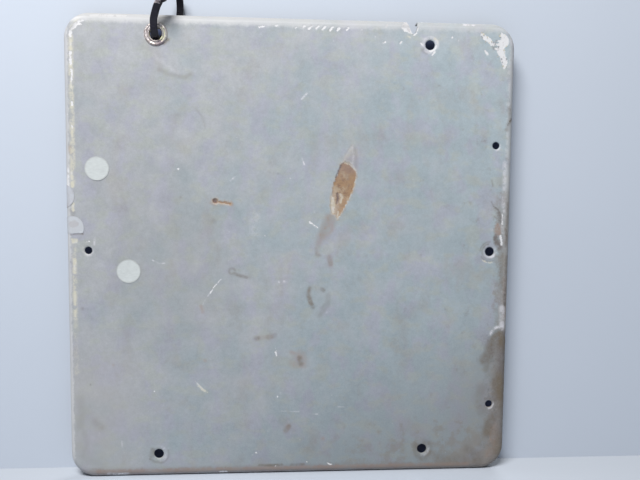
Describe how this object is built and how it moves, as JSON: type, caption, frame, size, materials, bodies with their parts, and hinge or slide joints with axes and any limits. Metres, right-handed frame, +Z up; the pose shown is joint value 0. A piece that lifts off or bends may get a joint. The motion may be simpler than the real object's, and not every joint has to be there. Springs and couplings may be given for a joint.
{
  "type": "pressed steel sign plate",
  "caption": "Upright pressed steel plate with a turned rim, bolt and screw holes, an edge notch, paper seals, and an eyelet carrying a swinging cable tie loop.",
  "frame": {"origin": "middle of the sheet's back face, where a post or bracket bears", "axes": "+Z up the plate, +X to the right seen from the painted face, +Y from the painted face towards the post"},
  "size_m": [0.3053, 0.0323, 0.3349],
  "materials": {
    "grey_paint": "worn satin grey over white undercoat, with rust",
    "brass": "tarnished",
    "dull_brass": "dull",
    "black_nylon": "slightly glossy moulded nylon",
    "seal_paper": "aged coated paper"
  },
  "bodies": {
    "plate": {"sign_plate": "grey_paint", "eyelet_barrel": "brass", "eyelet_washer": "dull_brass", "seal_upper": "seal_paper", "seal_lower": "seal_paper", "seal_edge": "seal_paper", "seal_wrapped": "seal_paper"},
    "loop": {"cable_tie": "black_nylon"}
  },
  "joints": [
    {"name": "loop_swing", "type": "hinge", "parent": "plate", "child": "loop", "pos_m": [-0.092, -0.0006, 0.144], "axis": [0, 1, 0], "range_deg": [-75, 35]}
  ]
}
